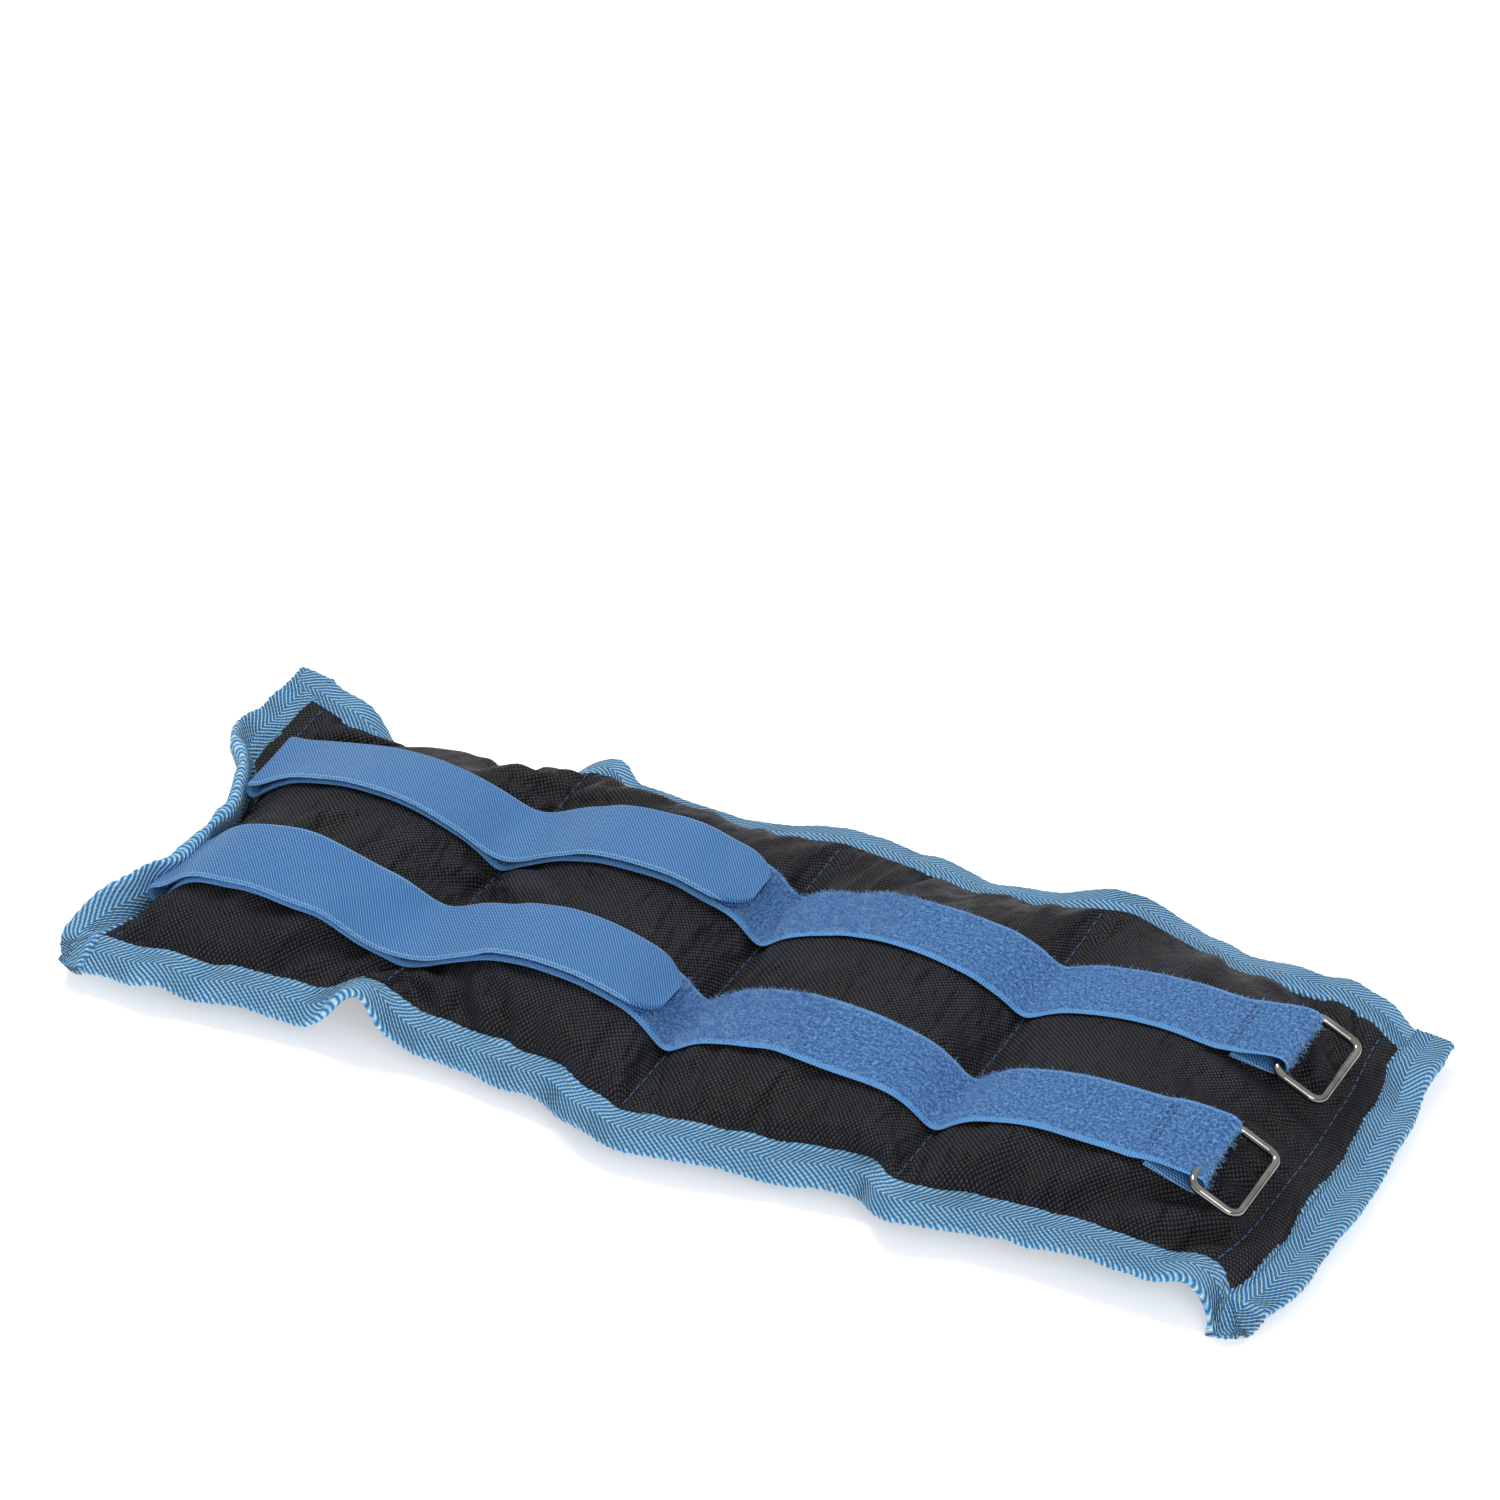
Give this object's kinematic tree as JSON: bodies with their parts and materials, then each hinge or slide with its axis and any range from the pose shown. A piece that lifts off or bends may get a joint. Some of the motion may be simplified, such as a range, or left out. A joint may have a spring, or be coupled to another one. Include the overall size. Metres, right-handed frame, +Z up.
{
  "type": "ankle cuff weight",
  "caption": "Soft wrap-round ankle weight: a row of sand-filled pockets with taped edges, two hook-and-loop straps and two wire rings, lying open and flat.",
  "frame": {"origin": "middle of the open cuff, on the surface that it lies on", "axes": "+X along the cuff towards the end with the rings, +Y across it, +Z up through the side that carries the straps"},
  "size_m": [0.356, 0.136, 0.0303],
  "materials": {
    "cover_cloth": "woven nylon, soft sheen",
    "binding_tape": "herringbone polyester tape",
    "loop_webbing": "napped loop webbing",
    "tail_webbing": "smooth woven webbing",
    "hook_tape": "moulded nylon hooks",
    "ring_steel": "polished nickel plate",
    "bag_film": "translucent film",
    "iron_sand": "loose grains",
    "thread": "twisted sewing thread"
  },
  "bodies": {
    "pocket_1": {"front_cover_1": "cover_cloth", "back_cover_1": "cover_cloth", "weight_bag_1": "bag_film", "sand_fill_1": "iron_sand", "front_binding_1": "binding_tape", "back_binding_1": "binding_tape", "loop_strap_front_1": "loop_webbing", "loop_strap_rear_1": "loop_webbing", "left_end_binding": "binding_tape", "end_stitch_left": "thread"},
    "pocket_2": {"front_cover_2": "cover_cloth", "back_cover_2": "cover_cloth", "weight_bag_2": "bag_film", "sand_fill_2": "iron_sand", "front_binding_2": "binding_tape", "back_binding_2": "binding_tape", "loop_strap_front_2": "loop_webbing", "loop_strap_rear_2": "loop_webbing", "seam_stitch_1": "thread", "seam_stitch_2": "thread"},
    "pocket_3": {"front_cover_3": "cover_cloth", "back_cover_3": "cover_cloth", "weight_bag_3": "bag_film", "sand_fill_3": "iron_sand", "front_binding_3": "binding_tape", "back_binding_3": "binding_tape", "loop_strap_front_3": "loop_webbing", "loop_strap_rear_3": "loop_webbing", "seam_stitch_3": "thread"},
    "pocket_4": {"front_cover_4": "cover_cloth", "back_cover_4": "cover_cloth", "weight_bag_4": "bag_film", "sand_fill_4": "iron_sand", "front_binding_4": "binding_tape", "back_binding_4": "binding_tape", "loop_strap_front_4": "loop_webbing", "loop_strap_rear_4": "loop_webbing", "right_end_binding": "binding_tape", "end_stitch_right": "thread", "ring_loop_front": "loop_webbing", "ring_loop_stitch_front": "thread", "ring_loop_rear": "loop_webbing", "ring_loop_stitch_rear": "thread"},
    "tail_root_front": {"tail_root_front": "tail_webbing"},
    "tail_end_front": {"tail_end_front": "tail_webbing", "hook_patch_front": "hook_tape"},
    "ring_front": {"ring_front": "ring_steel"},
    "tail_root_rear": {"tail_root_rear": "tail_webbing"},
    "tail_end_rear": {"tail_end_rear": "tail_webbing", "hook_patch_rear": "hook_tape"},
    "ring_rear": {"ring_rear": "ring_steel"}
  },
  "joints": [
    {"name": "wrap", "type": "hinge", "parent": "pocket_2", "child": "pocket_3", "pos_m": [-0.003, 0, 0.012], "axis": [0, 1, 0], "range_deg": [0, 80]},
    {"name": "wrap_seam_1", "type": "hinge", "parent": "pocket_2", "child": "pocket_1", "pos_m": [-0.082, 0, 0.012], "axis": [0, -1, 0], "range_deg": [0, 80]},
    {"name": "wrap_seam_3", "type": "hinge", "parent": "pocket_3", "child": "pocket_4", "pos_m": [0.075, 0, 0.012], "axis": [0, 1, 0], "range_deg": [0, 80]},
    {"name": "tail_peel_front", "type": "hinge", "parent": "pocket_1", "child": "tail_root_front", "pos_m": [-0.163, -0.027, 0.0172], "axis": [0, -1, 0], "range_deg": [0, 150]},
    {"name": "tail_bend_front", "type": "hinge", "parent": "tail_root_front", "child": "tail_end_front", "pos_m": [-0.082, -0.027, 0.012], "axis": [0, 1, 0], "range_deg": [0, 80]},
    {"name": "ring_swing_front", "type": "hinge", "parent": "pocket_4", "child": "ring_front", "pos_m": [0.147, -0.027, 0.0226], "axis": [0, -1, 0], "range_deg": [0, 160]},
    {"name": "tail_peel_rear", "type": "hinge", "parent": "pocket_1", "child": "tail_root_rear", "pos_m": [-0.163, 0.027, 0.0172], "axis": [0, -1, 0], "range_deg": [0, 150]},
    {"name": "tail_bend_rear", "type": "hinge", "parent": "tail_root_rear", "child": "tail_end_rear", "pos_m": [-0.082, 0.027, 0.012], "axis": [0, 1, 0], "range_deg": [0, 80]},
    {"name": "ring_swing_rear", "type": "hinge", "parent": "pocket_4", "child": "ring_rear", "pos_m": [0.147, 0.027, 0.0226], "axis": [0, -1, 0], "range_deg": [0, 160]}
  ],
  "couplings": [
    {"joint": "wrap_seam_1", "follows": "wrap", "ratio": 1},
    {"joint": "wrap_seam_3", "follows": "wrap", "ratio": 1},
    {"joint": "tail_bend_front", "follows": "wrap", "ratio": 1},
    {"joint": "tail_bend_rear", "follows": "wrap", "ratio": 1}
  ]
}
